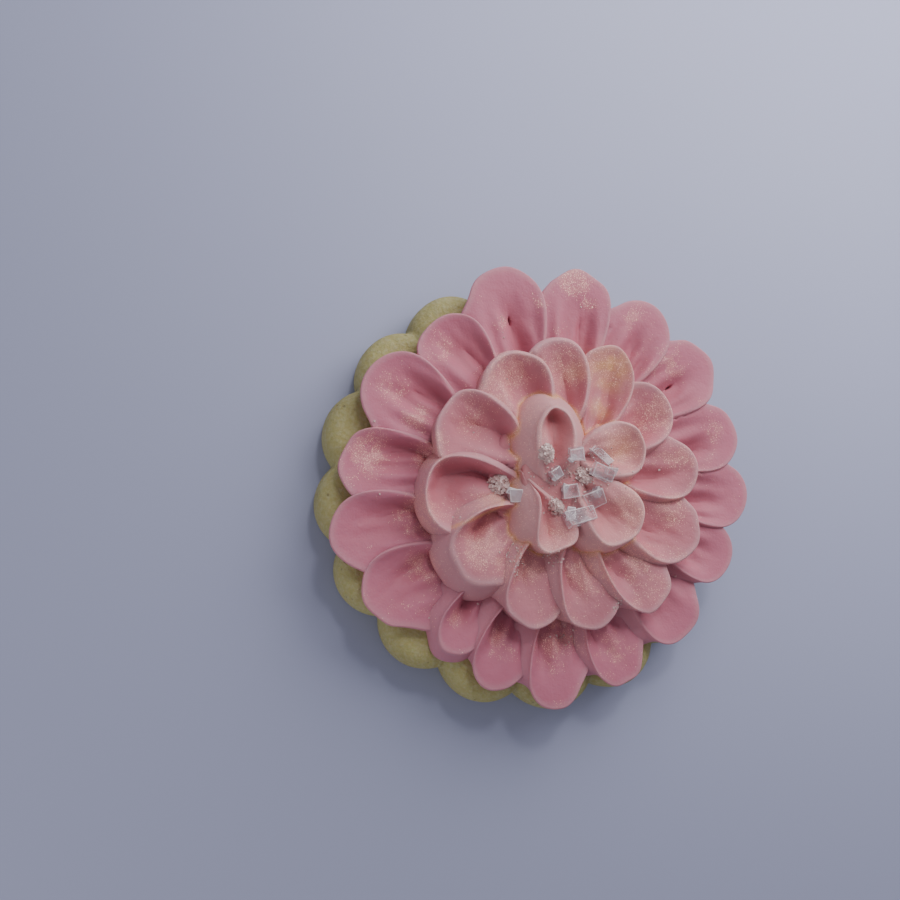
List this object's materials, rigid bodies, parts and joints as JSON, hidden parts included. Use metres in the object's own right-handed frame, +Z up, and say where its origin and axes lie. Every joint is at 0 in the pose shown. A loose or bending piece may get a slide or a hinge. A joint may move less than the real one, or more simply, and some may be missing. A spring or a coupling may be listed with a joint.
{
  "type": "iced sugar cookie",
  "caption": "Round scalloped sugar cookie under a pink royal icing flower piped in three tiers of petals, with coarse sugar crystals at its heart.",
  "frame": {"origin": "centre of the biscuit's flat underside, on the surface it lies on", "axes": "+Z straight up through the flower, +X to the right and +Y to the top of the picture"},
  "size_m": [0.0814, 0.0812, 0.0214],
  "materials": {
    "biscuit": "pale baked biscuit, matte, fine crumb",
    "outer_icing": "satin pink royal icing with a little pearl dust",
    "middle_icing": "satin pink royal icing with warm pearl dust in its hollows",
    "inner_icing": "satin pink royal icing with copper pearl dust",
    "sugar_crystal": "clear to frosted coarse sugar"
  },
  "bodies": {
    "root": {"biscuit": "biscuit", "outer_petals": "outer_icing", "middle_petals": "middle_icing", "inner_petals": "inner_icing"}
  },
  "joints": []
}
